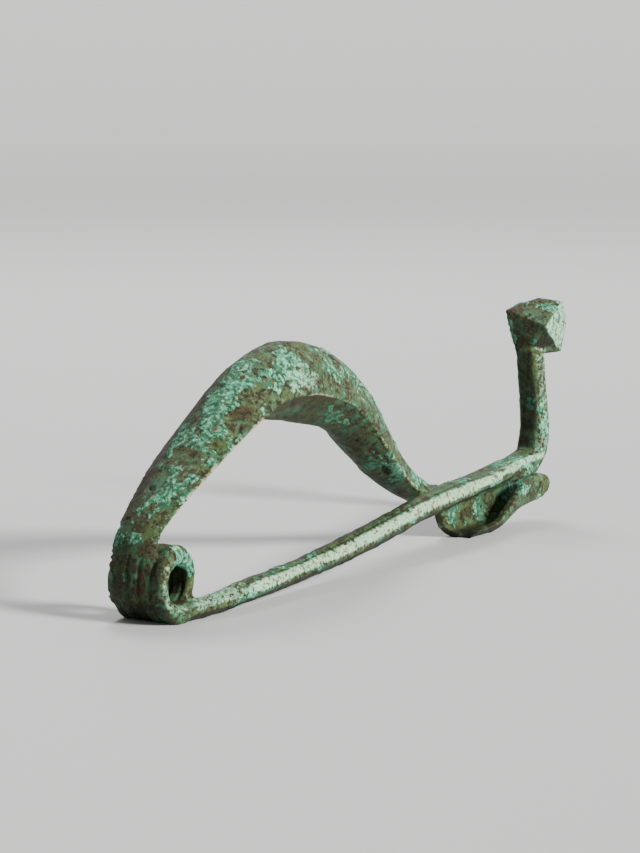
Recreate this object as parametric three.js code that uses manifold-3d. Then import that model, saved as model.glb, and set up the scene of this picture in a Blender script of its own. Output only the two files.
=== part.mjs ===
// Bronze bow brooch (fibula) with a raised foot and a faceted terminal knob.
// Millimetres, +Z up, +X from the spring coil to the foot, -Y on the pin's side.
import * as THREE from "three";
import { ConvexGeometry } from "three/addons/geometries/ConvexGeometry.js";
import { mergeVertices } from "three/addons/utils/BufferGeometryUtils.js";
import Module from "manifold-3d";

const wasm = await Module();
wasm.setup();

// ---- driving sizes ----------------------------------------------------------------------
// Spring coil: an oval barrel whose axis runs along Y, near face at Y = 0.
const COIL = {
  turns: 4.3, // from the pin's root to where the wire is lost under the bow
  lead: 0.06, // part of a turn buried in the pin's root
  pitch: 1.24,
  nearY: 0.05, // centre of the nearest turn, at the pin's root
  midX: 0.1,
  outerX: 2.9, // half of the oval's length
  outerZ: 3.55, // half of the oval's height
  wireX: 1.1, // wire thickness at the oval's two sides
  wireZ: 1.95, // wire thickness at its top and bottom
  wireY: 1.6,
  perTurn: 26,
  tuck: 0.8, // how far the last quarter turn draws in under the bow
};
const SINK = 0.2; // how far the worn underside is cut back to make the seats
const BOW_Y = 3.45; // plane the bow is centred on

// Bow, along the line of its two side edges. Each station: x, z, width,
// rise of the outer face above the edges, depth of the inner face below them.
const BOW = [
  [-0.6, 0.85, 4.9, 0.5, 0.35],
  [-2.15, 1.9, 5.0, 0.5, 0.4],
  [-2.4, 4.0, 5.0, 0.5, 0.5],
  [-1.85, 6.2, 4.9, 0.6, 0.6],
  [-0.5, 8.35, 5.0, 0.7, 0.6],
  [2.5, 10.85, 6.1, 0.9, 0.6],
  [6.1, 13.2, 7.0, 1.3, 0.9],
  [9.7, 15.3, 7.6, 2.1, 1.3],
  [13.4, 17.0, 7.8, 3.2, 1.9],
  [17.0, 18.0, 7.8, 4.1, 2.5],
  [20.8, 18.2, 7.8, 4.6, 3.1],
  [24.9, 17.6, 7.7, 4.6, 3.2],
  [28.8, 16.25, 7.3, 4.4, 2.7],
  [32.3, 14.1, 6.7, 4.1, 2.1],
  [35.4, 11.3, 5.9, 3.7, 1.6],
  [38.6, 8.6, 4.8, 3.2, 1.2],
  [42.4, 6.4, 3.7, 2.4, 1.0],
  [46.5, 4.9, 2.9, 1.6, 0.9],
  [50.5, 4.7, 2.2, 0.9, 0.7],
];
const BOW_STEPS = 64;
const OUTER_POWER = 2.1; // 2 is a parabola, and 1 would be two flat faces meeting in a ridge
const INNER_POWER = 1.45;

// Pin: x, y, z of its middle, half width, half height.
const PIN = [
  [-0.6, 0.05, 0.8, 0.88, 1.02],
  [2.2, -0.05, 0.88, 0.88, 0.98],
  [5.5, -0.3, 1.06, 0.93, 0.95],
  [9.0, -0.55, 1.5, 1.0, 1.0],
  [13.0, -0.45, 1.6, 1.1, 1.05],
  [19.5, -0.1, 1.95, 1.2, 1.1],
  [26.5, 0.15, 2.6, 1.3, 1.15],
  [34.0, 0.35, 3.5, 1.35, 1.25],
  [41.0, 0.55, 4.5, 1.35, 1.2],
  [48.0, 0.75, 5.15, 1.3, 1.1],
  [54.0, 1.0, 5.45, 1.15, 0.95],
  [59.5, 1.4, 5.65, 0.9, 0.75],
  [63.0, 1.95, 5.85, 0.7, 0.6],
  [67.0, 2.9, 6.0, 0.4, 0.4],
];
const PIN_STEPS = 44;

// Foot bar and stem: one square bar bent sharply upwards, seen from the side (x, z).
const FOOT_UNDER = [[46.8, 4.3], [53.0, 3.7], [60.0, 4.2], [68.2, 4.8]];
const STEM_BACK = [[70.5, 6.7], [70.8, 9.6], [70.6, 12.0], [69.9, 15.2], [69.6, 18.1]];
const STEM_FRONT = [[67.2, 18.1], [67.2, 16.4], [68.0, 12.8], [68.1, 9.6], [67.5, 7.5]];
const FOOT_TOP = [[64.0, 6.75], [57.0, 6.1], [50.0, 5.5], [46.8, 5.6]];
const FOOT_NEAR = 1.6;
const FOOT_FAR = 4.15;
const FOOT_BEVEL = 0.38;

// Catchplate: a sheet hanging from the foot bar, curled towards the pin's side into a
// channel that rises from the ground, its lip running on past the bar's corner as a leaf.
const CATCH = {
  x0: 49,
  x1: 69,
  wallY: 3.65, // middle of the hanging wall
  topZ: 5.0,
  curlY: 1.6, // half of the channel's width, to the middle of the sheet
  curlZ: 1.3, // depth of its curl, to the middle of the sheet
  sink: 0.08, // its underside is worn this much more than the coil's
  lip: 3.0, // height of the lip above the curl
  sheet: 0.9,
  riseStart: 56.5, // the channel's bottom lifts off the ground
  riseFull: 64.0,
  rise: 1.9,
  steps: 36,
  around: 20,
};

// Side outlines (x, z) that the sheet is trimmed to: its far half and its near half.
const CATCH_FAR = [
  [49.9, 5.0], [49.7, 4.0], [50.3, 2.4], [51.3, 0.8], [53.0, -0.6], [58.7, -0.6],
  [61.5, 0.8], [65.4, 2.2], [67.5, 3.9], [67.9, 5.0], [60.0, 5.0], [54.0, 4.9],
];
const CATCH_NEAR = [
  [52.4, -0.6], [52.2, 0.2], [53.4, 0.75], [55.3, 0.9], [57.0, 1.2], [58.2, 1.85],
  [59.6, 2.8], [61.2, 3.85], [62.7, 4.8], [64.2, 5.2], [65.9, 5.2], [67.2, 4.85],
  [67.9, 4.2], [67.7, 3.4], [66.8, 2.7], [64.8, 2.1], [61.5, 0.8], [58.7, -0.6],
];

// Knob: a tilted block. Corners of its near and far ends as x, y, z.
const KNOB_NEAR = [[67.9, 0.7, 20.8], [71.7, 0.9, 23.3], [73.5, 1.0, 21.4], [72.2, 1.1, 17.7]];
const KNOB_FAR = [[67.1, 5.3, 22.4], [69.9, 5.2, 23.0], [72.3, 5.0, 21.2], [70.6, 4.6, 18.8]];
const KNOB_NECK = [
  [67.3, 4.2, 20.2], [67.2, 4.0, 17.6], [67.5, 2.8, 17.6], [69.7, 2.3, 17.6], [69.6, 3.9, 17.6],
];
const KNOB_TOP = [[70.6, 2.9, 23.7]];

const PATINA = { color: 0x5f8671, roughness: 0.78, metalness: 0.25 };

// ---- helpers ----------------------------------------------------------------------------
/** Catmull-Rom value of a table of equal-length rows at t in 0..1. */
function sample(rows, t) {
  const last = rows.length - 1;
  const f = Math.min(Math.max(t, 0), 1) * last;
  const i = Math.min(Math.floor(f), last - 1);
  const u = f - i;
  const row = (k) => rows[Math.min(Math.max(k, 0), last)];
  return rows[0].map((_, c) => {
    const [a, b, d, e] = [row(i - 1)[c], row(i)[c], row(i + 1)[c], row(i + 2)[c]];
    const m0 = (d - a) / 2;
    const m1 = (e - b) / 2;
    const u2 = u * u;
    const u3 = u2 * u;
    return (2 * u3 - 3 * u2 + 1) * b + (u3 - 2 * u2 + u) * m0 + (3 * u2 - 2 * u3) * d + (u3 - u2) * m1;
  });
}

/** Closed solid through a row of rings, each ring the same number of [x, y, z] points. */
function loft(rings) {
  const n = rings[0].length;
  const verts = rings.flat(2);
  const tris = [];
  for (let r = 0; r + 1 < rings.length; r++) {
    for (let i = 0; i < n; i++) {
      const j = (i + 1) % n;
      const a = r * n + i;
      const b = r * n + j;
      tris.push(a, b, b + n, a, b + n, a + n);
    }
  }
  for (const [ring, flip] of [[0, true], [rings.length - 1, false]]) {
    const mid = [0, 1, 2].map((c) => rings[ring].reduce((s, p) => s + p[c], 0) / n);
    const m = verts.length / 3;
    verts.push(...mid);
    for (let i = 0; i < n; i++) {
      const a = ring * n + i;
      const b = ring * n + ((i + 1) % n);
      tris.push(...(flip ? [b, a, m] : [a, b, m]));
    }
  }
  return solid(verts, tris);
}

/** Manifold solid from loose triangles, turned right side out when it is inside out. */
function solid(verts, tris) {
  const make = (t) => new wasm.Manifold(new wasm.Mesh({
    numProp: 3,
    vertProperties: new Float32Array(verts),
    triVerts: new Uint32Array(t),
  }));
  const made = make(tris);
  if (made.volume() > 0) return made;
  const turned = [];
  for (let i = 0; i < tris.length; i += 3) turned.push(tris[i], tris[i + 2], tris[i + 1]);
  return make(turned);
}

/** Manifold solid from a closed three.js geometry. */
function fromGeometry(geometry) {
  const bare = geometry.clone();
  bare.deleteAttribute("normal");
  bare.deleteAttribute("uv");
  const merged = mergeVertices(bare, 1e-4);
  return solid(Array.from(merged.attributes.position.array), Array.from(merged.index.array));
}

// ---- bow --------------------------------------------------------------------------------
/** Leech-shaped bow: a flat band at the coil that swells towards the crown of the arch. */
function makeBow() {
  const across = 9;
  const rings = [];
  for (let s = 0; s <= BOW_STEPS; s++) {
    const t = s / BOW_STEPS;
    const [x, z, width, rise, depth] = sample(BOW, t);
    const ahead = sample(BOW, t + 0.004);
    const behind = sample(BOW, t - 0.004);
    const dx = ahead[0] - behind[0];
    const dz = ahead[1] - behind[1];
    const len = Math.hypot(dx, dz);
    const [nx, nz] = [-dz / len, dx / len];
    const ring = [];
    for (let i = 0; i <= across; i++) {
      const v = -Math.cos((Math.PI * i) / across);
      const up = rise * (1 - Math.pow(Math.abs(v), OUTER_POWER));
      ring.push([x + nx * up, BOW_Y + (v * width) / 2, z + nz * up]);
    }
    for (let i = across - 1; i > 0; i--) {
      const v = -Math.cos((Math.PI * i) / across);
      const down = depth * (1 - Math.pow(Math.abs(v), INNER_POWER));
      ring.push([x - nx * down, BOW_Y + (v * width) / 2, z - nz * down]);
    }
    rings.push(ring);
  }
  return loft(rings);
}

// ---- spring coil ------------------------------------------------------------------------
/** Oval helix of flattened wire, its turns touching, wound from the pin's root to the bow. */
function makeCoil() {
  const steps = Math.round((COIL.turns + COIL.lead) * COIL.perTurn);
  const rings = [];
  for (let s = 0; s <= steps; s++) {
    const turned = s / COIL.perTurn - COIL.lead;
    const angle = -Math.PI / 2 - 2 * Math.PI * turned;
    const [c, q] = [Math.cos(angle), Math.sin(angle)];
    const thick = COIL.wireX + (COIL.wireZ - COIL.wireX) * q * q;
    const tuck = COIL.tuck * THREE.MathUtils.smoothstep(turned, COIL.turns - 0.27, COIL.turns - 0.05);
    const ring = [];
    for (let i = 0; i < 10; i++) {
      const w = (2 * Math.PI * (i + 0.5)) / 10;
      const soft = (v) => Math.sign(v) * Math.pow(Math.abs(v), 0.7);
      const radial = (thick / 2) * soft(Math.cos(w)) - thick / 2 - tuck;
      const along = (COIL.wireY / 2) * soft(Math.sin(w));
      ring.push([
        COIL.midX + (COIL.outerX + radial) * c,
        COIL.nearY + COIL.pitch * turned + along,
        COIL.outerZ - SINK + (COIL.outerZ + radial) * q,
      ]);
    }
    rings.push(ring);
  }
  return loft(rings);
}

// ---- pin --------------------------------------------------------------------------------
/** Eight-sided pin with a ridge along its upper near side. */
function makePin() {
  const rings = [];
  for (let s = 0; s <= PIN_STEPS; s++) {
    const [x, y, z, halfY, halfZ] = sample(PIN, s / PIN_STEPS);
    rings.push(Array.from({ length: 8 }, (_, i) => {
      const w = (2 * Math.PI * (i + 0.5)) / 8;
      return [x, y + halfY * 1.05 * Math.cos(w), z + halfZ * 1.05 * Math.sin(w)];
    }));
  }
  return loft(rings);
}

// ---- foot bar, stem, catchplate and knob --------------------------------------------------
/** Foot bar and stem as one bent bar with its long edges bevelled. */
function makeFoot() {
  const outline = [...FOOT_UNDER, ...STEM_BACK, ...STEM_FRONT, ...FOOT_TOP];
  const shape = new THREE.Shape(outline.map(([x, z]) => new THREE.Vector2(x, z)));
  const bar = new THREE.ExtrudeGeometry(shape, {
    depth: FOOT_FAR - FOOT_NEAR - 2 * FOOT_BEVEL,
    bevelEnabled: true,
    bevelSegments: 1,
    bevelSize: FOOT_BEVEL,
    bevelOffset: -FOOT_BEVEL,
    bevelThickness: FOOT_BEVEL,
    steps: 1,
  });
  bar.rotateX(Math.PI / 2);
  bar.translate(0, FOOT_FAR - FOOT_BEVEL, 0);
  return fromGeometry(bar);
}

/** Lengths of the catch sheet's hanging wall and of its curl, along its middle line. */
function catchLengths() {
  const drop = CATCH.topZ - CATCH.curlZ - CATCH.sheet / 2 + SINK + CATCH.sink;
  return [drop, (Math.PI * (CATCH.curlY + CATCH.curlZ)) / 2];
}

/** Point and outward normal of the catch sheet's middle line, s mm down from its top. */
function catchLine(s) {
  const [drop, bend] = catchLengths();
  const baseZ = CATCH.topZ - drop;
  const midY = CATCH.wallY - CATCH.curlY;
  if (s <= drop) return [CATCH.wallY, CATCH.topZ - s, 1, 0];
  if (s <= drop + bend) {
    const a = (Math.PI * (s - drop)) / bend;
    const [c, q] = [Math.cos(a), Math.sin(a)];
    const len = Math.hypot(c * CATCH.curlZ, q * CATCH.curlY);
    const out = [(c * CATCH.curlZ) / len, (-q * CATCH.curlY) / len];
    return [midY + CATCH.curlY * c, baseZ - CATCH.curlZ * q, ...out];
  }
  return [midY - CATCH.curlY, baseZ + (s - drop - bend), -1, 0];
}

/** Prism along Y from near to far, with a smooth closed side outline. */
function prism(outline, near, far) {
  const curve = new THREE.CatmullRomCurve3(
    outline.map(([x, z]) => new THREE.Vector3(x, z, 0)), true, "centripetal");
  const points = curve.getPoints(outline.length * 4).slice(0, -1);
  const shape = new THREE.Shape(points.map((p) => new THREE.Vector2(p.x, p.y)));
  const block = new THREE.ExtrudeGeometry(shape, { depth: far - near, bevelEnabled: false, steps: 1 });
  block.rotateX(Math.PI / 2);
  block.translate(0, far, 0);
  return fromGeometry(block);
}

/** Catchplate: wall, curl and lip lofted along the foot, then trimmed from both sides. */
function makeCatch() {
  const [drop, bend] = catchLengths();
  const full = drop + bend + CATCH.lip;
  const rings = [];
  for (let k = 0; k <= CATCH.steps; k++) {
    const x = CATCH.x0 + ((CATCH.x1 - CATCH.x0) * k) / CATCH.steps;
    const lift = CATCH.rise * THREE.MathUtils.smoothstep(x, CATCH.riseStart, CATCH.riseFull);
    const outer = [];
    const inner = [];
    for (let i = 0; i <= CATCH.around; i++) {
      const [y, z, ny, nz] = catchLine((full * i) / CATCH.around);
      outer.push([x, y + (ny * CATCH.sheet) / 2, z + (nz * CATCH.sheet) / 2 + lift]);
      inner.unshift([x, y - (ny * CATCH.sheet) / 2, z - (nz * CATCH.sheet) / 2 + lift]);
    }
    rings.push([...outer, ...inner]);
  }
  const sheet = loft(rings);
  const midY = CATCH.wallY - CATCH.curlY;
  const far = sheet.intersect(prism(CATCH_FAR, midY - 0.05, CATCH.wallY + 1));
  const near = sheet.intersect(prism(CATCH_NEAR, midY - CATCH.curlY - 1, midY + 0.05));
  return wasm.Manifold.union(far, near);
}

/** Faceted knob and the short neck that carries it. */
function makeKnob() {
  const corners = [...KNOB_NEAR, ...KNOB_FAR, ...KNOB_NECK, ...KNOB_TOP];
  return fromGeometry(new ConvexGeometry(corners.map((p) => new THREE.Vector3(...p))));
}

// ---- one solid ----------------------------------------------------------------------------
const pieces = [makeBow(), makeCoil(), makePin(), makeFoot(), makeCatch(), makeKnob()];
const whole = pieces.reduce((sum, piece) => wasm.Manifold.union(sum, piece));
const ground = new THREE.BoxGeometry(200, 100, 100);
ground.translate(0, 0, 50);
const seated = whole.intersect(fromGeometry(ground));

const { numProp, vertProperties, triVerts } = seated.getMesh();
const positions = new Float32Array((vertProperties.length / numProp) * 3);
for (let i = 0; i < positions.length / 3; i++) {
  for (let c = 0; c < 3; c++) positions[3 * i + c] = vertProperties[numProp * i + c];
}
const geometry = new THREE.BufferGeometry();
geometry.setAttribute("position", new THREE.BufferAttribute(positions, 3));
geometry.setIndex(Array.from(triVerts));

// Origin at the middle of the bounding box's underside.
geometry.computeBoundingBox();
const box = geometry.boundingBox;
geometry.translate(-(box.min.x + box.max.x) / 2, -(box.min.y + box.max.y) / 2, -box.min.z);
geometry.computeVertexNormals();

const brooch = new THREE.Mesh(geometry, new THREE.MeshStandardMaterial(PATINA));
brooch.name = "fibula";

const group = new THREE.Group();
group.add(brooch);
export default group;
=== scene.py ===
"""Ancient bronze bow brooch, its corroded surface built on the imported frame.

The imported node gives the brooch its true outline. A copy of it is cut to a fine even mesh,
softened, pitted and crusted as old bronze is, and dressed in a mottled green patina.
"""

from __future__ import annotations

import logging
import math
from dataclasses import dataclass, field
from enum import Enum

import bmesh
import bpy
import numpy as np
from mathutils import Matrix, Vector, noise


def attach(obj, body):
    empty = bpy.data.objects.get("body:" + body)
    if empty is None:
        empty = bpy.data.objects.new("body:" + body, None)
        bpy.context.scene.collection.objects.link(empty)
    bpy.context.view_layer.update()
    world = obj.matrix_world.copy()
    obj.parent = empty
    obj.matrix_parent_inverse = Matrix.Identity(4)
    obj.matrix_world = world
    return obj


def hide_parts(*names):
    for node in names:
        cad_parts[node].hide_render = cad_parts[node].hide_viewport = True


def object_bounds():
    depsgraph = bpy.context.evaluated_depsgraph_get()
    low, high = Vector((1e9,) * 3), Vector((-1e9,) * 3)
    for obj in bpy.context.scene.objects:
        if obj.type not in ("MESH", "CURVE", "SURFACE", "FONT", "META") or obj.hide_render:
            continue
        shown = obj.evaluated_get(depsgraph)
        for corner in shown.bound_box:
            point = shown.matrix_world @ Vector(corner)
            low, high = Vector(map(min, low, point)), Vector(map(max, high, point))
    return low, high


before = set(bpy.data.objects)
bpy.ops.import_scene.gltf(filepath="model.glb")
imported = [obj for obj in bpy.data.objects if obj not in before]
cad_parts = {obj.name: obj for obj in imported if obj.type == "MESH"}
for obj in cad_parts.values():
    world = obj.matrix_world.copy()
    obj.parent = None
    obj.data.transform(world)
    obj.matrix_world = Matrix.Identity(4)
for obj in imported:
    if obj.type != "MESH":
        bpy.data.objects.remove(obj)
CAD_BOX = [list(corner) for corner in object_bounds()]

MM = 0.001
Colour = tuple[float, float, float]
LOG = logging.getLogger("brooch")


def smooth_step(low: float, high: float, value: np.ndarray) -> np.ndarray:
    """Ease from 0 at low to 1 at high.

    Args:
        low: Where the ramp starts.
        high: Where the ramp ends.
        value: Numbers to ease.

    Returns:
        Numbers from 0 to 1.
    """
    t = np.clip((value - low) / (high - low), 0.0, 1.0)
    return t * t * (3.0 - 2.0 * t)


def around(value: np.ndarray, centre: float, half: float) -> np.ndarray:
    """Return a soft bump of 1 at centre that falls to 0 at half away."""
    return 1.0 - smooth_step(0.0, half, np.abs(value - centre))


def cloud(points: np.ndarray, wavelength: float, octaves: int, seed: int) -> np.ndarray:
    """Sample a fractal noise at points.

    Args:
        points: N by 3 places in millimetres.
        wavelength: Size of the largest lumps in millimetres.
        octaves: How many finer layers are added.
        seed: Which field is taken, so that layers differ.

    Returns:
        N numbers, roughly from -1 to 1.
    """
    shift = Vector((31.7 * seed, 12.9 * seed, 7.3 * seed))
    rows = (points / wavelength).tolist()
    return np.array([noise.fractal(Vector(p) + shift, 1.0, 2.0, octaves) for p in rows])


class Face(Enum):
    """The two faces of the bow."""

    OUTER = 1
    INNER = -1


class Tone(Enum):
    """What a placed mark does to the surface, by the name of the paint layer it feeds."""

    CRUST = "crust"
    STAIN = "stain"
    RUST = "rust"
    # Darkens: dirt, pits and dark grooves, and painted shade on faces turned away from the
    # light.
    GRIME_AND_SHADE = "grime_and_shade"
    # Lightens: pale patina and worn edges, and painted highlight on faces turned towards the
    # light.
    PALE = "pale"


@dataclass(frozen=True)
class BowMark:
    """A patch on the bow, placed as a share of its length and half width."""

    along: float
    across: float
    face: Face
    length: float
    width: float
    tone: Tone
    strength: float = 0.8
    depth: float = 0.0


@dataclass(frozen=True)
class SpotMark:
    """A round patch placed from the coil's axis, the coil's near face and the ground, in mm."""

    x: float
    y: float
    z: float
    radius: float
    tone: Tone
    strength: float = 0.8
    depth: float = 0.0


class Surface:
    """Vertices of a fine closed mesh in millimetres, with the moves that weather it."""

    def __init__(self, mesh: bpy.types.Mesh) -> None:
        """Read the mesh.

        Args:
            mesh: A closed mesh in millimetres.
        """
        count = len(mesh.vertices)
        flat = np.zeros(count * 3, np.float64)
        mesh.vertices.foreach_get("co", flat)
        self.co = flat.reshape(-1, 3)
        pairs = np.zeros(len(mesh.edges) * 2, np.int64)
        mesh.edges.foreach_get("vertices", pairs)
        self.a, self.b = pairs[0::2], pairs[1::2]
        self.degree = np.bincount(pairs, minlength=count).astype(float)
        self.loops = np.zeros(len(mesh.loops), np.int64)
        mesh.loops.foreach_get("vertex_index", self.loops)
        self.starts = np.zeros(len(mesh.polygons), np.int64)
        mesh.polygons.foreach_get("loop_start", self.starts)

    def spread(self, values: np.ndarray, rounds: int) -> np.ndarray:
        """Average a value over neighbours.

        Args:
            values: One number, or one row, for each vertex.
            rounds: How many times it is averaged.

        Returns:
            The averaged values.
        """
        out = values.astype(float).copy()
        columns = out.reshape(len(out), -1)
        for _ in range(rounds):
            for c in range(columns.shape[1]):
                col = columns[:, c]
                total = np.bincount(self.a, weights=col[self.b], minlength=len(col))
                total += np.bincount(self.b, weights=col[self.a], minlength=len(col))
                columns[:, c] = 0.5 * col + 0.5 * total / self.degree
        return columns.reshape(values.shape)

    def normals(self) -> np.ndarray:
        """Return the outward unit normal at each vertex."""
        corner = self.co[self.loops]
        p0 = corner[self.starts]
        p1 = corner[self.starts + 1]
        p2 = corner[self.starts + 2]
        p3 = corner[self.starts + 3]
        face = np.cross(p2 - p0, p3 - p1)
        each = np.repeat(face, 4, axis=0)
        out = np.stack(
            [
                np.bincount(self.loops, weights=each[:, c], minlength=len(self.co))
                for c in range(3)
            ],
            axis=1,
        )
        return out / np.maximum(np.linalg.norm(out, axis=1, keepdims=True), 1e-12)

    def soften(self, rounds: int, keep: np.ndarray) -> None:
        """Smooth the mesh except where keep is 1.

        Args:
            rounds: How many times it is smoothed.
            keep: For each vertex, 1 where it stays and 0 where it is free.
        """
        for _ in range(rounds):
            self.co += (self.spread(self.co, 1) - self.co) * (1.0 - keep)[:, None]

    def bend(self, rounds: int) -> np.ndarray:
        """Return how convex the surface is, in mm: positive on ridges, negative in hollows."""
        return np.einsum("ij,ij->i", self.co - self.spread(self.co, rounds), self.normals())


class Paint:
    """How strongly each tone shows at each point of the surface."""

    def __init__(self, count: int) -> None:
        """Start with every tone at zero.

        Args:
            count: How many points the surface has.
        """
        self.layers = {tone.value: np.zeros(count) for tone in Tone}

    def mark(self, tone: Tone, weight: np.ndarray) -> None:
        """Raise a tone where weight is larger than what is there."""
        self.layers[tone.value] = np.maximum(self.layers[tone.value], weight)


@dataclass(frozen=True)
class Places:
    """Where each point of the surface lies on the brooch, before it is weathered.

    at counts from the coil's axis, the coil's near face and the ground, in mm, and out is the
    outward normal. zones says from 0 to 1 how far a point belongs to each part. pin_turn is the
    angle round the pin in degrees, 0 on its near side and 90 on top. along and across are shares
    of the bow's length and half width, and rise is the height above its side edges in mm. broken
    is a noise that breaks up soft borders.
    """

    at: np.ndarray
    out: np.ndarray
    zones: dict[str, np.ndarray]
    pin_turn: np.ndarray
    along: np.ndarray
    across: np.ndarray
    rise: np.ndarray
    broken: np.ndarray


@dataclass
class Bow:
    """Arched bow, swelling to a crown, with a thin worn line along its two side edges.

    line gives x, z and the full width of the bow's middle at a few stations.
    """

    middle: float = 3.45
    line_steps: int = 240
    line_rounds: int = 60
    points_at_once: int = 20000
    mark_scale: float = 3.6
    rim_height: float = 0.1
    rim_width: float = 0.34
    rim_width_change: float = 0.12
    rim_stations: tuple[float, ...] = (0.0, 0.2, 0.45, 0.6, 0.8, 1.0)
    rim_halves: tuple[float, ...] = (2.5, 2.6, 3.9, 3.8, 2.6, 1.1)
    onto_coil: float = -1.0
    line: tuple[tuple[float, float, float], ...] = (
        (-0.6, 0.85, 4.9),
        (-2.4, 4.0, 5.0),
        (-0.5, 8.35, 5.0),
        (6.1, 13.2, 7.0),
        (13.4, 17.0, 7.8),
        (20.8, 18.2, 7.8),
        (28.8, 16.25, 7.3),
        (35.4, 11.3, 5.9),
        (42.4, 6.4, 3.7),
        (50.5, 4.7, 2.2),
    )
    marks: tuple[BowMark, ...] = (
        BowMark(0.19, -0.30, Face.OUTER, 3.0, 1.4, Tone.CRUST),
        BowMark(0.28, -0.40, Face.OUTER, 3.6, 1.6, Tone.CRUST),
        BowMark(0.36, -0.20, Face.OUTER, 3.2, 1.3, Tone.CRUST),
        BowMark(0.46, -0.60, Face.OUTER, 3.4, 1.3, Tone.CRUST),
        BowMark(0.52, 0.30, Face.OUTER, 3.6, 1.6, Tone.CRUST, 0.7),
        # The pale marks on the crown and its near edge are partly pale patina and partly painted
        # highlight.
        BowMark(0.48, -0.85, Face.OUTER, 3.6, 0.8, Tone.PALE, 0.55),
        BowMark(0.57, -0.20, Face.OUTER, 4.5, 2.6, Tone.PALE, 0.4),
        BowMark(0.67, -0.30, Face.OUTER, 6.0, 2.8, Tone.PALE, 0.45),
        BowMark(0.79, -0.20, Face.OUTER, 6.0, 2.0, Tone.PALE, 0.55),
        BowMark(0.90, -0.10, Face.OUTER, 5.0, 1.8, Tone.CRUST, 0.8),
        BowMark(0.22, 0.75, Face.OUTER, 7.0, 1.1, Tone.STAIN, 0.9),
        BowMark(0.39, 0.62, Face.OUTER, 6.5, 1.5, Tone.STAIN, 0.95),
        BowMark(0.23, -0.75, Face.OUTER, 2.6, 0.9, Tone.CRUST, 0.8),
        BowMark(0.13, -0.35, Face.OUTER, 1.6, 1.0, Tone.CRUST, 0.8),
        BowMark(0.34, -0.75, Face.OUTER, 1.6, 0.9, Tone.STAIN, 0.8),
        BowMark(0.41, -0.45, Face.OUTER, 1.5, 0.8, Tone.STAIN, 0.5),
        BowMark(0.50, 0.00, Face.OUTER, 2.6, 1.2, Tone.STAIN, 0.5),
        BowMark(0.60, 0.55, Face.OUTER, 2.6, 1.0, Tone.STAIN, 0.45),
        BowMark(0.385, -0.30, Face.OUTER, 0.5, 0.4, Tone.RUST, 1.0),
        BowMark(0.245, -0.40, Face.OUTER, 1.3, 0.5, Tone.GRIME_AND_SHADE, 0.7, 0.07),
        BowMark(0.30, -0.45, Face.OUTER, 1.2, 0.4, Tone.RUST, 0.6, 0.03),
        BowMark(0.47, 0.30, Face.OUTER, 0.7, 0.5, Tone.RUST, 0.7, 0.05),
        BowMark(0.575, -0.45, Face.OUTER, 0.6, 0.35, Tone.GRIME_AND_SHADE, 0.9, 0.1),
        BowMark(0.60, -0.30, Face.INNER, 3.0, 1.6, Tone.CRUST, 0.5),
        # The dark marks on the inner face are painted shade, each with a shallow dent; the rust
        # marks are rust stains.
        BowMark(0.66, 0.30, Face.INNER, 5.0, 1.8, Tone.GRIME_AND_SHADE, 0.55, 0.02),
        BowMark(0.82, 0.20, Face.INNER, 4.0, 1.2, Tone.GRIME_AND_SHADE, 0.45, 0.02),
        BowMark(0.70, -0.10, Face.INNER, 1.4, 1.1, Tone.RUST, 0.6, 0.03),
        BowMark(0.74, -0.55, Face.INNER, 1.3, 0.6, Tone.RUST, 0.7, 0.06),
        BowMark(0.79, -0.60, Face.INNER, 2.2, 0.5, Tone.GRIME_AND_SHADE, 0.9, 0.12),
        BowMark(0.84, -0.35, Face.INNER, 2.4, 0.8, Tone.GRIME_AND_SHADE, 0.6, 0.05),
        BowMark(0.90, -0.60, Face.INNER, 0.8, 0.5, Tone.RUST, 0.9, 0.08),
    )

    def chord(self) -> np.ndarray:
        """Return the length along the bow's middle line at each of its stations, in mm."""
        rows = np.array(self.line)
        return np.r_[0, np.cumsum(np.hypot(*np.diff(rows[:, :2], axis=0).T))]

    def find(self, at: np.ndarray) -> tuple[np.ndarray, np.ndarray, np.ndarray]:
        """Find where each point lies on the bow.

        Args:
            at: Points counted from the coil, in mm.

        Returns:
            Share of the length, share of the half width and height above the side edges.
        """
        rows = np.array(self.line)
        chord = self.chord()
        fine = np.linspace(0, chord[-1], self.line_steps)
        line = np.stack([np.interp(fine, chord, rows[:, c]) for c in range(3)], axis=1)
        for _ in range(self.line_rounds):
            line[1:-1] = 0.5 * line[1:-1] + 0.25 * (line[2:] + line[:-2])
        flat = at[:, [0, 2]]
        best = np.zeros(len(flat), np.int64)
        for start in range(0, len(flat), self.points_at_once):
            some = slice(start, start + self.points_at_once)
            gap = flat[some, None, :] - line[None, :, :2]
            best[some] = np.argmin((gap**2).sum(2), axis=1)
        ahead = np.gradient(line[:, :2], axis=0)
        ahead /= np.linalg.norm(ahead, axis=1, keepdims=True)
        out = np.stack([-ahead[:, 1], ahead[:, 0]], axis=1)
        rise = ((flat - line[best, :2]) * out[best]).sum(1)
        across = (at[:, 1] - self.middle) / (line[best, 2] / 2)
        return best / (self.line_steps - 1), across, rise

    def place_marks(self, where: Places, paint: Paint) -> np.ndarray:
        """Lay the bow's marks.

        Args:
            where: The points' places.
            paint: The paint layers that the marks feed.

        Returns:
            How far the marks move each point, in mm.
        """
        length = self.chord()[-1]
        fray = 0.6 * cloud(where.at, 1.0, 3, 9)
        over_coil = where.zones["coil"] * (where.at[:, 0] < self.onto_coil)
        reach = where.zones["bow"] + over_coil
        sides = {
            Face.OUTER: smooth_step(-0.1, 0.25, where.rise),
            Face.INNER: smooth_step(-0.2, 0.1, -where.rise),
        }
        height = np.zeros(len(where.at))
        for m in self.marks:
            far = np.hypot(
                (where.along - m.along) * length / m.length,
                (where.across - m.across) * self.mark_scale / m.width,
            )
            weight = 1 - smooth_step(0.2, 1.3, far + fray)
            weight *= sides[m.face] * reach
            paint.mark(m.tone, weight * m.strength)
            height -= m.depth * weight
        return height

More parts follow.
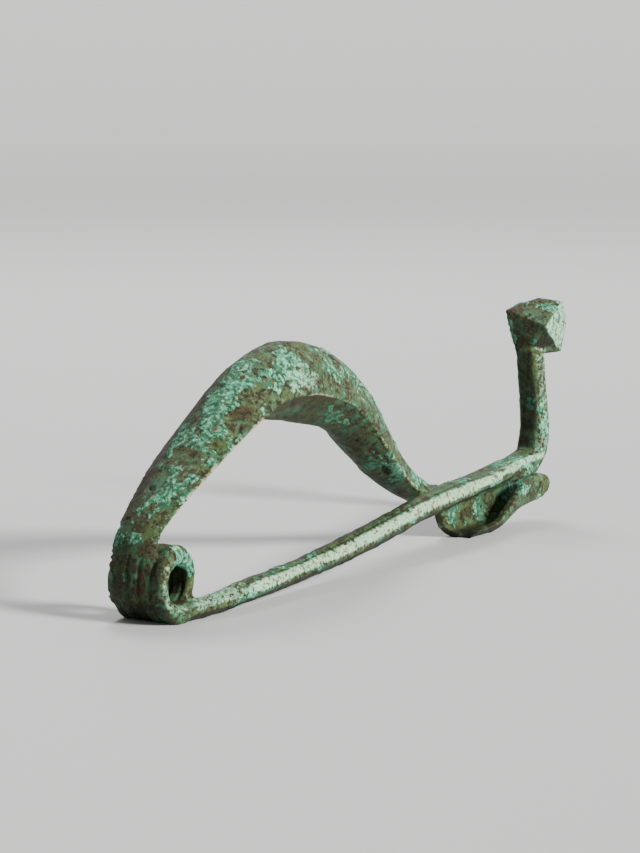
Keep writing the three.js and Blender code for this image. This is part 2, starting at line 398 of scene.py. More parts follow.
    def rim(self, where: Places) -> np.ndarray:
        """Find the thin worn line along the two side edges.

        Args:
            where: The points' places.

        Returns:
            A number from 0 to 1 for each point.
        """
        half = np.interp(where.along, self.rim_stations, self.rim_halves)
        away = np.hypot((np.abs(where.across) - 1.0) * half, where.rise)
        wide = self.rim_width + self.rim_width_change * cloud(where.at, 2.2, 2, 12)
        return (1 - smooth_step(0.4, 1.0, away / wide)) * where.zones["bow"]

    def dress(self, where: Places, paint: Paint) -> None:
        """Brown the near edge of the coil-side leg and paint shade on the inner face of the
        other.

        Args:
            where: The points' places.
            paint: The paint layers to feed.
        """
        bow = where.zones["bow"]
        edge = (where.rise < 0.1) * around(where.across, -0.85, 0.45) * bow
        edge *= 1 - smooth_step(0.52, 0.6, where.along)
        paint.mark(Tone.STAIN, 0.7 * edge)
        # Painted shade on the inner face of the bow, under the crown.
        inner = smooth_step(0.1, -0.4, where.rise) * smooth_step(0.42, 0.52, where.along)
        paint.mark(Tone.GRIME_AND_SHADE, 0.5 * inner * bow)


@dataclass
class Pin:
    """Faceted pin with a groove along its upper side and a crisp edge along its near side.

    line gives x, y, z and the radius of the pin at a few stations.
    """

    reach: float = 1.25
    start: float = 0.5
    end: float = 64.0
    groove_turn: float = 58.0
    groove_half: float = 9.0
    groove_depth: float = 0.09
    edge_turn: float = -14.0
    edge_half: float = 14.0
    edge_height: float = 0.07
    line: tuple[tuple[float, float, float, float], ...] = (
        (-0.6, 0.05, 0.8, 0.95),
        (5.5, -0.3, 1.06, 0.94),
        (13.0, -0.45, 1.6, 1.08),
        (26.5, 0.15, 2.6, 1.22),
        (41.0, 0.55, 4.5, 1.28),
        (54.0, 1.0, 5.45, 1.05),
        (63.0, 1.95, 5.85, 0.65),
    )

    def find(self, at: np.ndarray) -> tuple[np.ndarray, np.ndarray]:
        """Find the points on the pin.

        Args:
            at: Points counted from the coil, in mm.

        Returns:
            Whether each point is on the pin, and its angle round the pin in degrees.
        """
        x, y, z = at.T
        rows = np.array(self.line)
        off_y = y - np.interp(x, rows[:, 0], rows[:, 1])
        off_z = z - np.interp(x, rows[:, 0], rows[:, 2])
        size = np.interp(x, rows[:, 0], rows[:, 3])
        on_pin = np.hypot(off_y, off_z) < size * self.reach
        on_pin &= (x > self.start) & (x < self.end)
        return on_pin, np.degrees(np.arctan2(off_z, -off_y))

    def relief(self, where: Places, paint: Paint) -> np.ndarray:
        """Cut the groove and raise the edge.

        Args:
            where: The points' places.
            paint: The paint layers to feed.

        Returns:
            How far each point moves, in mm.
        """
        x = where.at[:, 0]
        grown = where.zones["pin"] * smooth_step(6.0, 16.0, x)
        groove = grown * around(where.pin_turn, self.groove_turn, self.groove_half)
        groove *= 1 - smooth_step(52.0, 58.0, x)
        paint.mark(Tone.GRIME_AND_SHADE, 0.8 * groove)
        edge = grown * around(where.pin_turn, self.edge_turn, self.edge_half)
        return self.edge_height * edge - self.groove_depth * groove

    def dress(self, where: Places, paint: Paint) -> None:
        """Paint highlight on the near facet and the root, and darken the top.

        Args:
            where: The points' places.
            paint: The paint layers to feed.
        """
        x = where.at[:, 0]
        pin = where.zones["pin"]
        # Painted highlight on the near facet, which faces the light.
        near = pin * around(where.pin_turn, 22.0, 44.0) * smooth_step(4.0, 12.0, x)
        paint.mark(Tone.PALE, np.clip(1.1 * near + 0.25 * where.broken * near, 0, 1))
        # Darker along the top.
        top = pin * around(where.pin_turn, 92.0, 38.0) * smooth_step(5.0, 12.0, x)
        paint.mark(Tone.GRIME_AND_SHADE, 0.42 * top)
        # Painted highlight on the pin's root, carrying on from the ring's.
        root = smooth_step(0.2, 2.0, x) * smooth_step(14.0, 6.0, x) * pin
        paint.mark(Tone.PALE, 0.5 * root * smooth_step(-20.0, 15.0, where.pin_turn))


@dataclass
class Coil:
    """Spring coil of touching turns, with faint grooves between them."""

    back: float = 2.904
    end: float = 3.3
    top: float = 7.4
    turn_start: float = 0.98
    turn_pitch: float = 1.24
    groove_depth: float = 0.13
    spots: tuple[SpotMark, ...] = (
        SpotMark(1.2, -0.8, 4.2, 0.25, Tone.GRIME_AND_SHADE, 1.0, 0.15),
        SpotMark(-2.8, 1.9, 4.2, 0.6, Tone.RUST, 0.9),
        SpotMark(-2.9, 2.1, 3.0, 0.7, Tone.RUST, 0.9),
        SpotMark(-2.5, 2.3, 1.7, 0.6, Tone.RUST, 0.7),
        SpotMark(-2.9, 4.6, 2.6, 1.1, Tone.STAIN, 0.9),
        SpotMark(-2.7, 5.6, 5.2, 0.7, Tone.RUST, 0.9),
        SpotMark(-2.2, 3.4, 7.2, 1.2, Tone.CRUST, 0.5),
        SpotMark(-2.9, 3.2, 4.4, 0.9, Tone.CRUST, 0.8),
        SpotMark(-2.2, -0.6, 5.4, 1.3, Tone.PALE, 0.45),
        SpotMark(-2.8, -0.5, 3.2, 1.3, Tone.PALE, 0.45),
        SpotMark(-1.4, 2.6, 0.6, 1.3, Tone.STAIN, 0.8),
    )

    def covers(self, at: np.ndarray) -> np.ndarray:
        """Return whether each point is within the coil's reach."""
        return (at[:, 0] < self.end) & (at[:, 2] < self.top)

    def relief(self, where: Places, paint: Paint) -> np.ndarray:
        """Cut the grooves between the turns on the barrel's outer side.

        Args:
            where: The points' places.
            paint: The paint layers to feed.

        Returns:
            How far each point moves, in mm.
        """
        _, y, z = where.at.T
        wave = 2 * math.pi * (y - self.turn_start) / self.turn_pitch
        lines = np.cos(wave + 0.9 * cloud(where.at, 3.0, 1, 7))
        turns = smooth_step(0.35, 0.98, lines) * smooth_step(-0.1, -0.5, where.out[:, 0])
        turns *= where.zones["coil"] * smooth_step(6.6, 5.2, z) * smooth_step(5.6, 3.2, y)
        turns *= smooth_step(0.3, 0.7, y)
        paint.mark(Tone.GRIME_AND_SHADE, 0.6 * turns)
        paint.mark(Tone.STAIN, 0.5 * turns)
        return -self.groove_depth * turns

    def dress(self, where: Places, paint: Paint) -> None:
        """Paint highlight on the ring at the coil's near end.

        Args:
            where: The points' places.
            paint: The paint layers to feed.
        """
        _, y, z = where.at.T
        # Painted highlight on the ring's near face, which faces the light.
        ring = where.zones["coil"] * smooth_step(-0.05, -0.55, y) * smooth_step(0.2, 1.4, z)
        paint.mark(Tone.PALE, 0.5 * ring + 0.2 * ring * where.broken)


@dataclass
class Foot:
    """Foot bar with its catchplate, upturned stem and knob."""

    bar_start: float = 47.0
    bar_low: float = 4.2
    bar_near: float = 1.4
    catch_start: float = 49.0
    catch_top: float = 5.6
    stem_start: float = 65.5
    stem_low: float = 7.3
    knob_start: float = 62.0
    knob_low: float = 18.3
    crest_start: float = 58.0
    crest_end: float = 69.4
    crest_run: float = 11.0
    crest_y: float = 1.45
    crest_z: float = 6.0
    crest_shift: tuple[float, float] = (0.25, 0.75)
    spots: tuple[SpotMark, ...] = (
        SpotMark(56.5, 0.6, 1.6, 0.5, Tone.RUST, 0.7, 0.05),
        SpotMark(53.5, 2.8, 2.0, 1.6, Tone.CRUST, 0.9),
        SpotMark(63.6, 3.0, 3.0, 1.2, Tone.CRUST, 1.0),
        SpotMark(67.1, 5.2, 22.3, 0.8, Tone.RUST, 0.9),
        SpotMark(68.0, 4.2, 21.9, 0.8, Tone.STAIN, 0.9),
        SpotMark(72.6, 1.0, 20.6, 0.5, Tone.RUST, 0.6, 0.04),
        SpotMark(71.4, 1.0, 21.4, 0.3, Tone.GRIME_AND_SHADE, 0.6, 0.04),
        SpotMark(69.3, 1.7, 9.2, 0.5, Tone.RUST, 0.6, 0.03),
        SpotMark(69.4, 1.7, 15.4, 0.6, Tone.RUST, 0.6, 0.02),
    )

    def find(self, at: np.ndarray, on_pin: np.ndarray) -> dict[str, np.ndarray]:
        """Find the points on the knob, stem, bar and catchplate.

        Args:
            at: Points counted from the coil, in mm.
            on_pin: Whether each point is on the pin, which is left out.

        Returns:
            Whether each point belongs to a part, by the part's name.
        """
        x, y, z = at.T
        knob = (x > self.knob_start) & (z > self.knob_low)
        stem = (x > self.stem_start) & (z > self.stem_low) & ~knob
        bar = (x > self.bar_start) & (z >= self.bar_low) & (y > self.bar_near)
        bar &= ~(on_pin | stem | knob)
        catch = (x > self.catch_start) & (z < self.catch_top) & ~(on_pin | bar)
        return {"knob": knob, "stem": stem, "bar": bar, "catch": catch}

    def dress(self, where: Places, paint: Paint) -> None:
        """Pale the bar's worn crest, paint highlight on the near faces and paint shade on what
        faces the ground.

        Args:
            where: The points' places.
            paint: The paint layers to feed.
        """
        x, y, z = where.at.T
        knob, stem = where.zones["knob"], where.zones["stem"]
        share = np.clip((x - self.crest_start) / self.crest_run, 0.0, 1.0)
        away = np.hypot(
            y - self.crest_y - self.crest_shift[0] * share,
            z - self.crest_z - self.crest_shift[1] * share,
        )
        crest = smooth_step(0.6, 0.2, away) * (x > self.crest_start) * (x < self.crest_end)
        paint.mark(Tone.PALE, np.clip(0.75 + 0.3 * where.broken, 0, 1) * crest)
        # Painted highlight on the near faces of knob and stem, which face the light.
        near = smooth_step(0.78, 0.96, -where.out[:, 1])
        paint.mark(Tone.PALE, 0.7 * near * (knob + 0.6 * stem))
        # Painted shade on the knob's underside and on the bottom of the catchplate.
        paint.mark(Tone.GRIME_AND_SHADE, 0.75 * knob * smooth_step(0.2, 0.45, -where.out[:, 2]))
        paint.mark(Tone.GRIME_AND_SHADE, 0.9 * where.zones["catch"] * smooth_step(1.5, 0.3, z))


@dataclass
class BroochShape:
    """Finely meshed brooch with its corroded relief, in millimetres."""

    node: str = "fibula"
    voxel: float = 0.178
    far_side: float = 7.35
    soft_rounds: int = 9
    zone_rounds: int = 10
    lump_height: float = 0.07
    dent_height: float = 0.055
    crust_height: float = 0.065
    pit_depth: float = 0.13
    bow: Bow = field(default_factory=Bow)
    pin: Pin = field(default_factory=Pin)
    coil: Coil = field(default_factory=Coil)
    foot: Foot = field(default_factory=Foot)

    def refined(self) -> bpy.types.Object:
        """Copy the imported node, merge its triangles and cut it to a fine even mesh.

        Returns:
            The new object, its mesh in millimetres.
        """
        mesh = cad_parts[self.node].data.copy()
        mesh.materials.clear()
        bm = bmesh.new()
        bm.from_mesh(mesh)
        bmesh.ops.transform(bm, matrix=Matrix.Scale(1.0 / MM, 4), verts=bm.verts)
        bmesh.ops.remove_doubles(bm, verts=bm.verts, dist=1e-4)
        bm.to_mesh(mesh)
        bm.free()
        piece = bpy.data.objects.new("fibula_bronze", mesh)
        bpy.context.scene.collection.objects.link(piece)
        remesh = piece.modifiers.new("FineMesh", "REMESH")
        remesh.mode = "VOXEL"
        remesh.voxel_size = self.voxel
        remesh.adaptivity = 0.0
        graph = bpy.context.evaluated_depsgraph_get()
        fine = bpy.data.meshes.new_from_object(piece.evaluated_get(graph))
        piece.modifiers.clear()
        piece.data = fine
        return piece

    def part_place(self, co: np.ndarray) -> np.ndarray:
        """Shift points so that X starts at the coil's axis and Y at its near face.

        Args:
            co: Points in the row frame, in mm.

        Returns:
            The same points counted from the coil and the ground.
        """
        low, high = CAD_BOX
        shift = (-self.coil.back - low[0] / MM, self.far_side - high[1] / MM, 0.0)
        return co + np.array(shift)

    def find(self, skin: Surface) -> Places:
        """Find where each point lies on the brooch.

        Args:
            skin: The fine surface.

        Returns:
            The points' places.
        """
        at = self.part_place(skin.co)
        on_pin, pin_turn = self.pin.find(at)
        parts = {"pin": on_pin, "coil": self.coil.covers(at) & ~on_pin}
        parts.update(self.foot.find(at, on_pin))
        parts["bow"] = ~np.logical_or.reduce(list(parts.values()))
        zones = {
            name: skin.spread(mask.astype(float), self.zone_rounds)
            for name, mask in parts.items()
        }
        along, across, rise = self.bow.find(at)
        broken = cloud(at, 1.5, 3, 11)
        return Places(at, skin.normals(), zones, pin_turn, along, across, rise, broken)

    def build(self) -> bpy.types.Object:
        """Make the fine mesh, weather it and paint its layers.

        Returns:
            The finished object, in metres in the row frame.
        """
        piece = self.refined()
        skin = Surface(piece.data)
        LOG.info("fine mesh: %d vertices", len(skin.co))
        fold = np.abs(skin.bend(3))
        keep = np.clip(1.1 * smooth_step(0.012, 0.04, fold), 0.0, 0.96)
        skin.soften(self.soft_rounds, keep)
        where = self.find(skin)
        paint = Paint(len(skin.co))
        rim = self.bow.rim(where)
        height = self.relief(skin, where, paint, rim)
        skin.co += where.out * height[:, None]
        skin.co[:, 2] = np.maximum(skin.co[:, 2], 0.0)
        self.dress(skin, where, paint, rim)
        self.write(piece, skin, paint)
        return piece

    def relief(
        self, skin: Surface, where: Places, paint: Paint, rim: np.ndarray
    ) -> np.ndarray:
        """Work out how far corrosion lifts or eats each point.

        Args:
            skin: The fine surface.
            where: Its points' places.
            paint: The paint layers to feed.
            rim: The worn line along the bow's side edges.

        Returns:
            The move along the normal of each point, in mm.
        """
        height = self.lump_height * cloud(where.at, 5.0, 2, 1)
        height += self.dent_height * cloud(where.at, 1.4, 3, 2)
        height += self.bow.place_marks(where, paint)
        height += self.place_spots(where, paint)
        height += self.corrode(where, paint)
        height = skin.spread(height, 1) + self.pin.relief(where, paint)
        height = height * (1 - 0.5 * rim) + self.bow.rim_height * rim
        return height + self.coil.relief(where, paint)

    def place_spots(self, where: Places, paint: Paint) -> np.ndarray:
        """Lay the round marks of the coil and the foot.

        Args:
            where: The points' places.
            paint: The paint layers that the marks feed.

        Returns:
            How far the marks move each point, in mm.
        """
        fray = 0.6 * cloud(where.at, 0.7, 3, 8)
        height = np.zeros(len(where.at))
        for s in self.coil.spots + self.foot.spots:
            far = np.linalg.norm(where.at - np.array([s.x, s.y, s.z]), axis=1) / s.radius
            weight = 1 - smooth_step(0.2, 1.3, far + fray)
            paint.mark(s.tone, weight * s.strength)
            height -= s.depth * weight
        return height

    def corrode(self, where: Places, paint: Paint) -> np.ndarray:
        """Grow the crust's patches and open the pits.

        Args:
            where: The points' places.
            paint: The paint layers, with the placed marks already on them.

        Returns:
            How far each point moves, in mm.
        """
        at, zones = where.at, where.zones
        mottle = cloud(at, 3.4, 4, 3) + 0.45 * cloud(at, 1.2, 3, 4)
        crust = smooth_step(0.0, 0.45, mottle + 0.9 * paint.layers["crust"] - 0.12)
        crust *= 1.0 - 0.75 * paint.layers["stain"]
        bare = zones["catch"] * smooth_step(0.35, -0.25, cloud(at, 2.0, 2, 13))
        crust *= 1.0 - 0.75 * bare
        paint.mark(Tone.GRIME_AND_SHADE, 0.35 * bare)
        paint.layers["crust"] = crust
        pits = smooth_step(0.62, 0.95, cloud(at, 0.75, 2, 5) + 0.25 * cloud(at, 4.0, 2, 6))
        paint.mark(Tone.GRIME_AND_SHADE, 0.75 * pits)
        raised = self.crust_height * smooth_step(0.4, 0.7, crust)
        return raised - self.pit_depth * pits * (1 - 0.6 * zones["pin"])

    def dress(self, skin: Surface, where: Places, paint: Paint, rim: np.ndarray) -> None:
        """Lay the worn ridges, darker hollows and painted side shade over the placed marks.

        Args:
            skin: The weathered surface.
            where: Its points' places.
            paint: The paint layers to feed.
            rim: The worn line along the bow's side edges.
        """
        zones = where.zones
        bend = skin.bend(5)
        ridge = skin.spread(smooth_step(0.03, 0.12, bend), 1)
        hollow = skin.spread(smooth_step(0.012, 0.07, -bend), 1)
        # Painted shade on the faces turned away from the light.
        self.paint_side_shade(where, paint)
        # Darker in the hollows.
        paint.mark(Tone.GRIME_AND_SHADE, 0.9 * hollow)
        for part in (self.bow, self.pin, self.coil, self.foot):
            part.dress(where, paint)
        rim = rim * (1 - 0.35 * smooth_step(0.5, 0.6, where.along))
        ridge = np.maximum(ridge * (1 - 0.3 * zones["coil"]), rim)
        paint.layers["ridge"] = np.clip(ridge * (0.8 + 0.7 * where.broken), 0, 1)
        clean = np.maximum(rim, ridge * (zones["stem"] + zones["knob"]))
        paint.layers["grime_and_shade"] *= 1 - 0.8 * clean

    def paint_side_shade(self, where: Places, paint: Paint) -> None:
        """Paint shade on faces turned to the ground, the coil-side faces and the pin's
        underside.

        Args:
            where: The points' places.
            paint: The paint layers to feed.
        """
        zones, out = where.zones, where.out
        upright = zones["stem"] + zones["knob"]
        grime_and_shade = 0.35 * smooth_step(0.15, 0.85, -out[:, 2])
        grime_and_shade += 0.55 * smooth_step(0.55, 0.95, -out[:, 0]) * upright
        grime_and_shade += 0.45 * smooth_step(0.3, 0.9, -out[:, 0]) * zones["coil"]
        grime_and_shade += 0.55 * smooth_step(-8.0, -24.0, where.pin_turn) * zones["pin"]
        paint.mark(Tone.GRIME_AND_SHADE, np.clip(grime_and_shade + 0.35 * where.broken * grime_and_shade, 0, 0.9))

    def write(self, piece: bpy.types.Object, skin: Surface, paint: Paint) -> None:
        """Put the weathered points, back in metres, and the paint layers on the mesh.

        Args:
            piece: The object to change.
            skin: The surface whose points it takes.
            paint: The paint layers it takes.
        """
        mesh = piece.data
        mesh.vertices.foreach_set("co", (skin.co * MM).ravel())
        for name, values in paint.layers.items():
            layer = mesh.attributes.new(name, "FLOAT", "POINT")
            layer.data.foreach_set("value", np.clip(values, 0, 1).astype(np.float32))
        mesh.polygons.foreach_set("use_smooth", [True] * len(mesh.polygons))
        mesh.update()
        LOG.info("%s: %d faces", piece.name, len(mesh.polygons))


class NodeKit:
    """Short ways to add and link nodes in a node tree."""

    def __init__(self, tree: bpy.types.NodeTree) -> None:
        """Keep the tree."""
        self.tree = tree

    def add(self, kind: str, **settings: object) -> bpy.types.Node:
        """Add a node and set its properties.

        Args:
            kind: The node's type name.
            **settings: Properties of the node.

        Returns:
            The new node.
        """
        node = self.tree.nodes.new(kind)
        for name, value in settings.items():
            setattr(node, name, value)
        return node

    def link(self, source: bpy.types.NodeSocket, target: bpy.types.NodeSocket) -> None:
        """Join two sockets."""
        self.tree.links.new(source, target)

    def ramp(
        self, value: bpy.types.NodeSocket, low: float, high: float
    ) -> bpy.types.NodeSocket:
        """Ease a value from 0 at low to 1 at high.

        Args:
            value: The socket to ease.
            low: Where the ramp starts.
            high: Where the ramp ends.

        Returns:
            The eased socket.
        """
        node = self.add("ShaderNodeMapRange", interpolation_type="SMOOTHSTEP")
        node.inputs["From Min"].default_value = low
        node.inputs["From Max"].default_value = high
        self.link(value, node.inputs["Value"])
        return node.outputs["Result"]

    def math(self, kind: str, *values: object) -> bpy.types.NodeSocket:
        """Combine sockets and numbers.

        Args:
            kind: The operation's name.
            *values: Sockets or numbers.

        Returns:
            The result's socket.
        """
        node = self.add("ShaderNodeMath", operation=kind)
        for slot, value in zip(node.inputs, values):
            if isinstance(value, bpy.types.NodeSocket):
                self.link(value, slot)
            else:
                slot.default_value = value
        return node.outputs[0]

    def fray(
        self, layer: bpy.types.NodeSocket, grain: bpy.types.NodeSocket, much: float
    ) -> bpy.types.NodeSocket:
        """Break up a paint layer's soft border with noise.

        Args:
            layer: The layer's strength.
            grain: A noise value around a half.
            much: How strongly the noise counts.

        Returns:
            The frayed layer's socket.
        """
        return self.math("MULTIPLY_ADD", self.math("SUBTRACT", grain, 0.5), much, layer)

    def mix(
        self, factor: bpy.types.NodeSocket, first: object, second: object
    ) -> bpy.types.NodeSocket:
        """Mix two colours.

        Args:
            factor: How much of the second is taken.
            first: A colour socket or an RGB triple.
            second: A colour socket or an RGB triple.

        Returns:
            The mixed colour's socket.
        """
        node = self.add("ShaderNodeMix", data_type="RGBA")
        self.link(factor, node.inputs[0])
        for slot, value in ((node.inputs[6], first), (node.inputs[7], second)):
            if isinstance(value, bpy.types.NodeSocket):
                self.link(value, slot)
            else:
                slot.default_value = (*value, 1.0)
        return node.outputs[2]

    def noise(
        self, place: bpy.types.NodeSocket, scale: float, detail: float, rough: float
    ) -> bpy.types.NodeSocket:
        """Add a noise texture.

        Args:
            place: Where it is read, in millimetres.
            scale: Lumps for each millimetre.
            detail: How many finer layers it has.
            rough: How strong the finer layers are.

        Returns:
            The noise value's socket.
        """
        node = self.add("ShaderNodeTexNoise")
        node.inputs["Scale"].default_value = scale
        node.inputs["Detail"].default_value = detail
        node.inputs["Roughness"].default_value = rough
        self.link(place, node.inputs["Vector"])
        return node.outputs[0]


@dataclass(frozen=True)
class PatinaFinish:
    """Mottled green patina over dark bronze."""

    # dark is also used for painted shade, and mint and bone are also used for painted highlight.
    dark: Colour = (0.010, 0.012, 0.006)
    brown: Colour = (0.048, 0.040, 0.015)
    olive: Colour = (0.070, 0.098, 0.030)
    green: Colour = (0.036, 0.130, 0.062)
    turquoise: Colour = (0.075, 0.310, 0.180)
    mint: Colour = (0.310, 0.600, 0.380)
    tan: Colour = (0.230, 0.190, 0.080)
    bone: Colour = (0.450, 0.540, 0.310)
    rust: Colour = (0.080, 0.028, 0.012)
    edge: Colour = (0.330, 0.370, 0.200)
    shine: float = 0.22
    bump: float = 0.9
    bump_distance: float = 0.00022

    def group(self) -> bpy.types.NodeTree:
        """Build the node group that turns the paint layers into colour and roughness.

        Returns:
            The node group.
        """
        tree = bpy.data.node_groups.new("weathered_bronze", "ShaderNodeTree")
        kit = NodeKit(tree)
        face = tree.interface
        face.new_socket("Place", in_out="INPUT", socket_type="NodeSocketVector")
        for name in ("Crust", "Stain", "Rust", "Grime_and_shade", "Pale", "Ridge"):
            face.new_socket(name, in_out="INPUT", socket_type="NodeSocketFloat")
        face.new_socket("Colour", in_out="OUTPUT", socket_type="NodeSocketColor")
        face.new_socket("Roughness", in_out="OUTPUT", socket_type="NodeSocketFloat")
        face.new_socket("Height", in_out="OUTPUT", socket_type="NodeSocketFloat")
        given = kit.add("NodeGroupInput").outputs
        place = given["Place"]
        broad = kit.noise(place, 0.38, 3.0, 0.6)
        patch = kit.noise(place, 0.95, 6.0, 0.68)
        speck = kit.noise(place, 2.6, 5.0, 0.72)
        grain = kit.noise(place, 6.5, 3.0, 0.7)
        # Thin old patina over the metal, with brown showing through and tan flecks.
        colour = kit.mix(kit.ramp(broad, 0.42, 0.60), self.olive, self.green)
        colour = kit.mix(kit.ramp(patch, 0.46, 0.56), colour, self.brown)
        colour = kit.mix(kit.ramp(speck, 0.57, 0.66), colour, self.turquoise)
        fleck = kit.math("MULTIPLY", kit.ramp(grain, 0.56, 0.64), kit.ramp(broad, 0.46, 0.56))
        colour = kit.mix(kit.math("MULTIPLY", fleck, 0.7), colour, self.tan)
        # Thick turquoise and mint crust, and the Pale layer: pale patina and worn crest, with
        # painted highlight on the pin, ring and near faces and partly on the crown.
        crust = kit.ramp(kit.fray(given["Crust"], speck, 1.1), 0.38, 0.60)
        film = kit.mix(kit.ramp(patch, 0.42, 0.58), self.green, self.turquoise)
        film = kit.mix(kit.ramp(speck, 0.50, 0.66), film, self.mint)
        colour = kit.mix(crust, colour, film)
        pale_patina_and_highlight = kit.ramp(kit.fray(given["Pale"], speck, 1.4), 0.3, 0.8)
        colour = kit.mix(pale_patina_and_highlight, colour, self.mint)
        bright = kit.ramp(kit.fray(given["Pale"], patch, 2.0), 0.6, 1.2)
        colour = kit.mix(bright, colour, self.bone)
        # Brown stains, rust, worn ridges, then dirt and painted shade, each over the one before.
        stain = kit.ramp(kit.fray(given["Stain"], speck, 2.2), 0.30, 0.75)
        colour = kit.mix(stain, colour, self.brown)
        rust = kit.ramp(kit.fray(given["Rust"], speck, 1.4), 0.40, 0.80)
        colour = kit.mix(rust, colour, self.rust)
        edge = kit.ramp(kit.fray(given["Ridge"], speck, 1.6), 0.30, 0.80)
        colour = kit.mix(edge, colour, self.edge)
        grime_and_shade = kit.ramp(kit.fray(given["Grime_and_shade"], speck, 1.3), 0.20, 0.95)
        colour = kit.mix(grime_and_shade, colour, self.dark)
        # Dark pinholes all over.
        holes = kit.math("MULTIPLY", kit.ramp(speck, 0.47, 0.40), kit.ramp(patch, 0.40, 0.50))
        dots = kit.math("MAXIMUM", kit.ramp(grain, 0.60, 0.68), holes)
        colour = kit.mix(kit.math("MULTIPLY", dots, 0.8), colour, self.dark)
        # Crust is rougher and stands higher, worn ridges are smoother, pinholes go in.
        rough = kit.math("MULTIPLY_ADD", crust, 0.18, 0.56)
        rough = kit.math("MULTIPLY_ADD", given["Ridge"], -0.14, rough)
        rough = kit.math("MULTIPLY_ADD", kit.math("SUBTRACT", grain, 0.5), 0.25, rough)
        tall = kit.math("MULTIPLY_ADD", speck, 0.7, kit.math("MULTIPLY", crust, 0.25))
        tall = kit.math("MULTIPLY_ADD", grain, 0.35, tall)
        tall = kit.math("MULTIPLY_ADD", dots, -0.35, tall)
        result = kit.add("NodeGroupOutput").inputs
        kit.link(colour, result["Colour"])
        kit.link(rough, result["Roughness"])
        kit.link(tall, result["Height"])
        return tree

    def material(self) -> bpy.types.Material:
        """Build the patina material.

        Returns:
            The material.
        """
        made = bpy.data.materials.new("patinated_bronze")
        made.use_nodes = True
        kit = NodeKit(made.node_tree)
        shader = made.node_tree.nodes["Principled BSDF"]
        coords = kit.add("ShaderNodeTexCoord")
        mapping = kit.add("ShaderNodeMapping")
        mapping.inputs["Scale"].default_value = (1 / MM,) * 3
        kit.link(coords.outputs["Object"], mapping.inputs["Vector"])
        patina = kit.add("ShaderNodeGroup", node_tree=self.group())
        kit.link(mapping.outputs["Vector"], patina.inputs["Place"])
        for name in ("Crust", "Stain", "Rust", "Grime_and_shade", "Pale", "Ridge"):
            layer = kit.add("ShaderNodeAttribute", attribute_name=name.lower())
            kit.link(layer.outputs["Fac"], patina.inputs[name])
        bump = kit.add("ShaderNodeBump")
        bump.inputs["Strength"].default_value = self.bump
        bump.inputs["Distance"].default_value = self.bump_distance
        kit.link(patina.outputs["Height"], bump.inputs["Height"])
        kit.link(patina.outputs["Colour"], shader.inputs["Base Color"])
        kit.link(patina.outputs["Roughness"], shader.inputs["Roughness"])
        kit.link(bump.outputs["Normal"], shader.inputs["Normal"])
        shader.inputs["Metallic"].default_value = 0.0
        shader.inputs["Specular IOR Level"].default_value = self.shine
        return made


@dataclass(frozen=True)
class FloorFinish:
    """Plain pale matt floor."""

    colour: Colour = (0.55, 0.55, 0.54)
    roughness: float = 0.6

    def material(self) -> bpy.types.Material:
        """Build the floor's material.

        Returns:
            The material.
        """
        made = bpy.data.materials.new("pale_floor")
        made.use_nodes = True
        shader = made.node_tree.nodes["Principled BSDF"]
        shader.inputs["Base Color"].default_value = (*self.colour, 1.0)
        shader.inputs["Roughness"].default_value = self.roughness
        return made


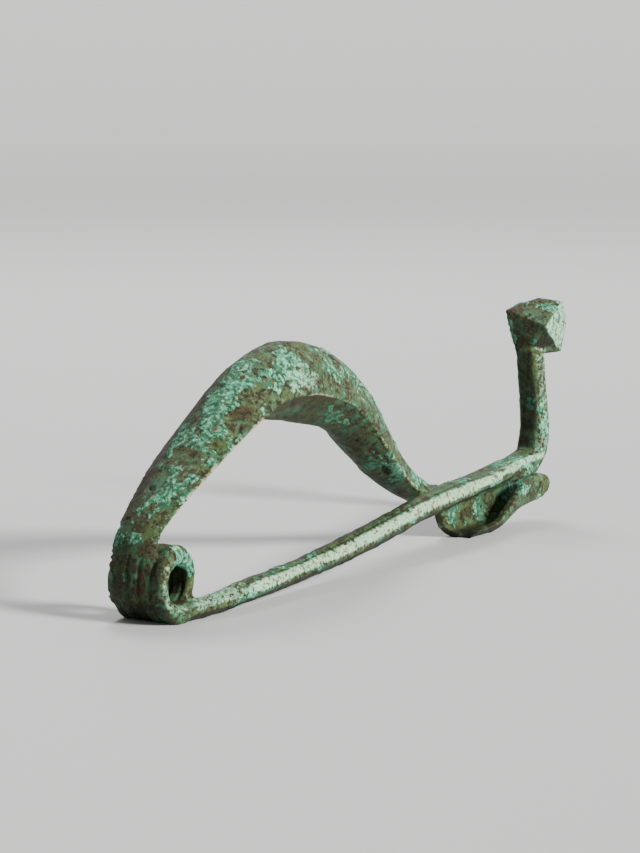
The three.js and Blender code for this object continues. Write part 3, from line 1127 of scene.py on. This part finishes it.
@dataclass
class Studio:
    """Pale floor, soft lights and the camera."""

    azimuth: float = -57.0
    elevation: float = 7.14
    lens: float = 150.0
    position: tuple[float, float, float] = (-0.2189, -0.1367, 0.0456)
    floor_size: float = 6.0
    wall_away: float = 1.5
    wall_curve: float = 0.8
    curve_steps: int = 12
    key_way: tuple[float, float, float] = (0.47, 0.27, 0.26)
    key_spread: float = 14.0
    key_power: float = 7.5
    rim_place: tuple[float, float, float] = (-0.05, 0.50, -0.38)
    rim_size: float = 0.22
    rim_power: float = 2.0
    room_colour: Colour = (0.9, 0.93, 0.95)
    room_power: float = 0.30

    def axes(self) -> tuple[Vector, Vector, Vector]:
        """Return the camera's right, up and backward directions."""
        turn, tilt = math.radians(self.azimuth), math.radians(self.elevation)
        back = Vector(
            (
                math.sin(turn) * math.cos(tilt),
                -math.cos(turn) * math.cos(tilt),
                math.sin(tilt),
            )
        )
        right = Vector((0, 0, 1)).cross(back).normalized()
        return right, back.cross(right), back

    def reach(self, way: tuple[float, float, float]) -> Vector:
        """Return the offset that goes right, up and level towards the camera by way."""
        right, _, back = self.axes()
        level = Vector((back.x, back.y, 0)).normalized()
        return right * way[0] + Vector((0, 0, way[1])) + level * way[2]

    def camera(self) -> None:
        """Place the camera at the viewing angle."""
        right, up, back = self.axes()
        data = bpy.data.cameras.new("camera")
        data.lens = self.lens
        data.sensor_fit = "HORIZONTAL"
        data.sensor_width = 36.0
        data.clip_start = 0.01
        made = bpy.data.objects.new("camera", data)
        turn = Matrix((right, up, back)).transposed().to_4x4()
        made.matrix_world = Matrix.Translation(self.position) @ turn
        bpy.context.scene.collection.objects.link(made)
        bpy.context.scene.camera = made

    def lamp(
        self, name: str, place: tuple[float, float, float], size: float, power: float
    ) -> None:
        """Add a soft square light that faces the brooch.

        Args:
            name: The light's name.
            place: Metres right of, above and towards the camera from the row frame's origin.
            size: Side of the square in metres.
            power: Watts.
        """
        spot = self.reach(place)
        data = bpy.data.lights.new(name, "AREA")
        data.shape = "SQUARE"
        data.size = size
        data.energy = power
        made = bpy.data.objects.new(name, data)
        aim = (Vector((0, 0, 0.01)) - spot).to_track_quat("-Z", "Y")
        made.matrix_world = Matrix.Translation(spot) @ aim.to_matrix().to_4x4()
        bpy.context.scene.collection.objects.link(made)

    def floor(self) -> None:
        """Lay the pale floor, which sweeps up into a plain wall behind the brooch."""
        side = self.reach((self.floor_size / 2, 0.0, 0.0))
        profile = [(self.floor_size / 2, 0.0)]
        for step in range(self.curve_steps + 1):
            turn = math.radians(90 * step / self.curve_steps)
            profile.append(
                (
                    -self.wall_away - self.wall_curve * math.sin(turn),
                    self.wall_curve * (1 - math.cos(turn)),
                )
            )
        profile.append((profile[-1][0], self.floor_size / 2))
        bm = bmesh.new()
        rows = []
        for away, high in profile:
            middle = self.reach((0.0, high, away))
            rows.append([bm.verts.new(middle - side), bm.verts.new(middle + side)])
        for below, above in zip(rows, rows[1:]):
            face = bm.faces.new((below[0], below[1], above[1], above[0]))
            face.smooth = True
        mesh = bpy.data.meshes.new("floor")
        bm.to_mesh(mesh)
        bm.free()
        made = bpy.data.objects.new("floor", mesh)
        made.data.materials.append(FloorFinish().material())
        bpy.context.scene.collection.objects.link(made)

    def sun(
        self, name: str, way: tuple[float, float, float], spread: float, power: float
    ) -> None:
        """Add a soft far light.

        Args:
            name: The light's name.
            way: Direction to it: right, up and towards the camera.
            spread: How wide it looks, in degrees.
            power: Watts for each square metre.
        """
        to_light = self.reach(way)
        data = bpy.data.lights.new(name, "SUN")
        data.angle = math.radians(spread)
        data.energy = power
        made = bpy.data.objects.new(name, data)
        made.matrix_world = (-to_light).to_track_quat("-Z", "Y").to_matrix().to_4x4()
        bpy.context.scene.collection.objects.link(made)

    def world(self) -> None:
        """Fill the room with an even pale light."""
        made = bpy.data.worlds.new("room")
        made.use_nodes = True
        sky = made.node_tree.nodes["Background"]
        sky.inputs["Color"].default_value = (*self.room_colour, 1.0)
        sky.inputs["Strength"].default_value = self.room_power
        bpy.context.scene.world = made

    def build(self) -> None:
        """Set up floor, lights, room and camera."""
        self.floor()
        self.world()
        self.sun("key", self.key_way, self.key_spread, self.key_power)
        self.lamp("rim", self.rim_place, self.rim_size, self.rim_power)
        self.camera()


def main() -> None:
    """Build the brooch and its studio."""
    logging.basicConfig(level=logging.INFO, format="%(name)s: %(message)s")
    brooch = BroochShape()
    piece = brooch.build()
    piece.data.materials.append(PatinaFinish().material())
    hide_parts(brooch.node)
    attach(piece, "root")
    LOG.info("brooch: done")
    Studio().build()


if __name__ == "__main__":
    main()
